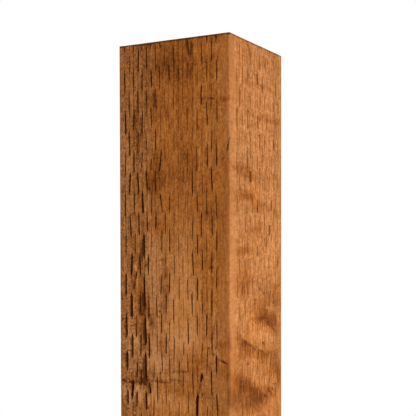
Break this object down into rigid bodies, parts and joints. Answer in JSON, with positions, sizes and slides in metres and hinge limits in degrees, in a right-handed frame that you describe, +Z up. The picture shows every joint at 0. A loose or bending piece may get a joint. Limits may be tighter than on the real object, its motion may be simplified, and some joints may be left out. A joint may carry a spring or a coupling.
{
  "type": "fence post",
  "caption": "Square timber fence post with eased long edges, square-sawn ends and close-set incising slits over brown preservative-treated faces.",
  "frame": {"origin": "centre of the square foot, on the level the post stands on", "axes": "+Z up the post's length from foot to top cut; X and Y square to its four faces, -Y the face seen largest in the picture"},
  "size_m": [0.089, 0.089, 2.438],
  "materials": {
    "treated_wood": "brown preservative-treated softwood, sawn and incised, matt"
  },
  "bodies": {
    "root": {"fence_post": "treated_wood"}
  },
  "joints": []
}
